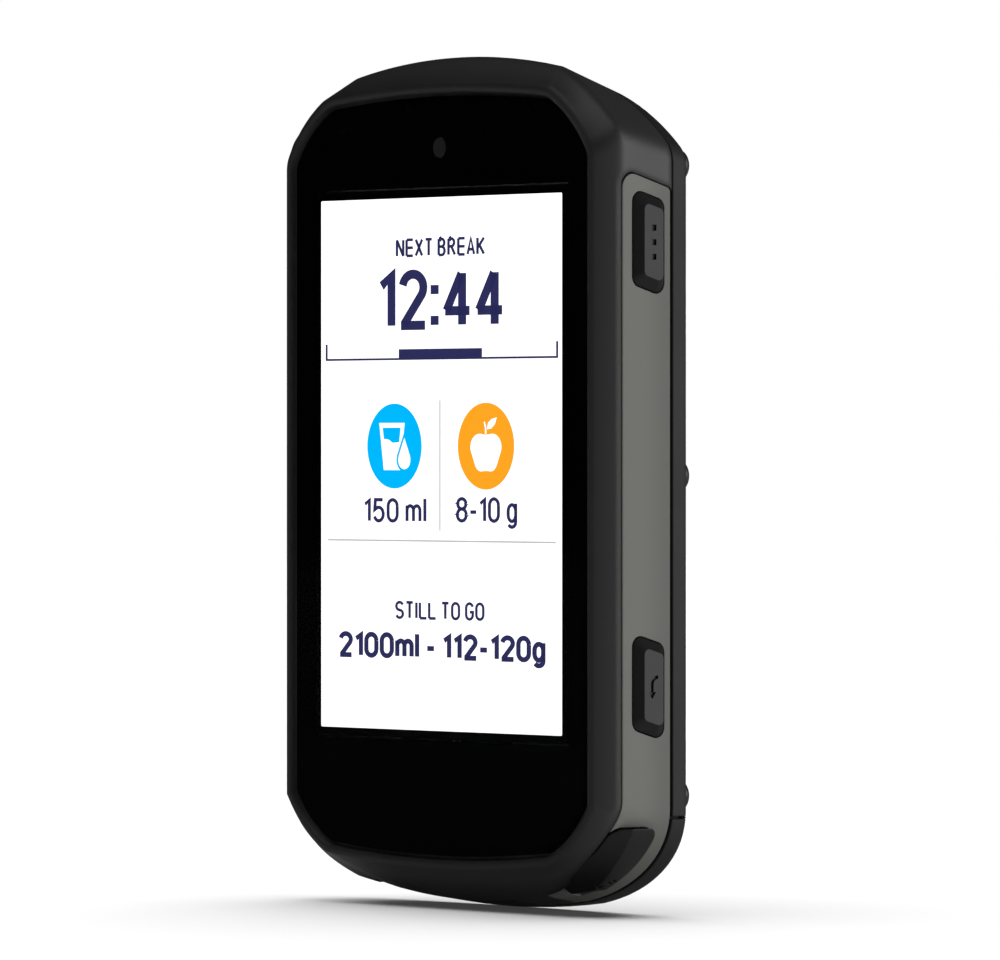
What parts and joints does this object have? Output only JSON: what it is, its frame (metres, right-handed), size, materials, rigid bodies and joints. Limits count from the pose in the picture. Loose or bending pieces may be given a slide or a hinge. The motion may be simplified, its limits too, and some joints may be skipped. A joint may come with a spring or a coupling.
{
  "type": "handlebar cycling computer",
  "caption": "Upright cycling computer with a touch screen in a bevelled black case, keys set in olive side bands and a quarter-turn hub on its back.",
  "frame": {"origin": "centre of the end face of the quarter-turn hub, on the back of the computer", "axes": "+Y out of the back along the hub's axis, +Z towards the top of the screen, +X towards the rider's right"},
  "size_m": [0.0556, 0.0156, 0.0898],
  "materials": {
    "black_shell": "fine-grained satin",
    "olive_band": "matte",
    "key_rubber": "matte",
    "dark_cover": "matte",
    "flap_rubber": "matte",
    "clear_glass": "polished",
    "black_bond": "matte black",
    "lit_screen": "smooth, lit",
    "white_sheet": "matte",
    "dark_window": "smooth",
    "black_steel": "satin black",
    "bright_steel": "satin",
    "mount_plastic": "moulded",
    "gasket_rubber": "soft",
    "light_alloy": "pressed",
    "board_green": "solder mask",
    "cell_foil": "foil",
    "ceramic_patch": "unglazed",
    "copper_film": "film",
    "black_polymer": "moulded",
    "white_membrane": "porous",
    "plunger_white": "moulded"
  },
  "bodies": {
    "computer": {"front_housing": "black_shell", "side_band_right": "olive_band", "side_band_left": "olive_band", "cover_glass": "clear_glass", "glass_adhesive": "black_bond", "display_panel": "lit_screen", "backlight": "white_sheet", "light_sensor": "dark_window", "back_cover": "dark_cover", "case_screws": "black_steel", "case_gasket": "gasket_rubber", "mount_insert": "mount_plastic", "mount_screws": "bright_steel", "usb_shell": "bright_steel", "usb_tongue": "black_polymer", "chassis": "light_alloy", "main_board": "board_green", "shield_cans": "bright_steel", "chassis_screws": "bright_steel", "battery": "cell_foil", "gps_antenna": "ceramic_patch", "buzzer": "black_polymer", "pressure_vent": "white_membrane", "display_flex": "copper_film", "key_board_right": "board_green", "key_board_left": "board_green", "key_board_bottom": "board_green", "key_switches": "black_polymer"},
    "menu_button": {"menu_key": "key_rubber", "menu_plunger": "plunger_white"},
    "back_button": {"back_key": "key_rubber", "back_plunger": "plunger_white"},
    "power_button": {"power_key": "key_rubber", "power_plunger": "plunger_white"},
    "up_button": {"up_key": "key_rubber", "up_plunger": "plunger_white"},
    "down_button": {"down_key": "key_rubber", "down_plunger": "plunger_white"},
    "start_button": {"start_key": "key_rubber", "start_plunger": "plunger_white"},
    "lap_button": {"lap_key": "key_rubber", "lap_plunger": "plunger_white"},
    "port_flap": {"port_cover": "flap_rubber"}
  },
  "joints": [
    {"name": "menu_press", "type": "slide", "parent": "computer", "child": "menu_button", "axis": [-1, 0, 0], "range_m": [0, 0.00035], "stiffness_N_per_m": 1500},
    {"name": "back_press", "type": "slide", "parent": "computer", "child": "back_button", "axis": [-1, 0, 0], "range_m": [0, 0.00035], "stiffness_N_per_m": 1500},
    {"name": "power_press", "type": "slide", "parent": "computer", "child": "power_button", "axis": [1, 0, 0], "range_m": [0, 0.00035], "stiffness_N_per_m": 1500},
    {"name": "up_press", "type": "slide", "parent": "computer", "child": "up_button", "axis": [1, 0, 0], "range_m": [0, 0.00035], "stiffness_N_per_m": 1500},
    {"name": "down_press", "type": "slide", "parent": "computer", "child": "down_button", "axis": [1, 0, 0], "range_m": [0, 0.00035], "stiffness_N_per_m": 1500},
    {"name": "start_press", "type": "hinge", "parent": "computer", "child": "start_button", "pos_m": [0.026, -0.011, -0.0366], "axis": [0, 1, 0], "range_deg": [0, 2], "stiffness_Nm_per_rad": 0.5},
    {"name": "lap_press", "type": "hinge", "parent": "computer", "child": "lap_button", "pos_m": [-0.026, -0.011, -0.0366], "axis": [0, -1, 0], "range_deg": [0, 2], "stiffness_Nm_per_rad": 0.5},
    {"name": "port_hinge", "type": "hinge", "parent": "computer", "child": "port_flap", "pos_m": [0, -0.0038, -0.0349], "axis": [1, 0, 0], "range_deg": [0, 100]}
  ]
}
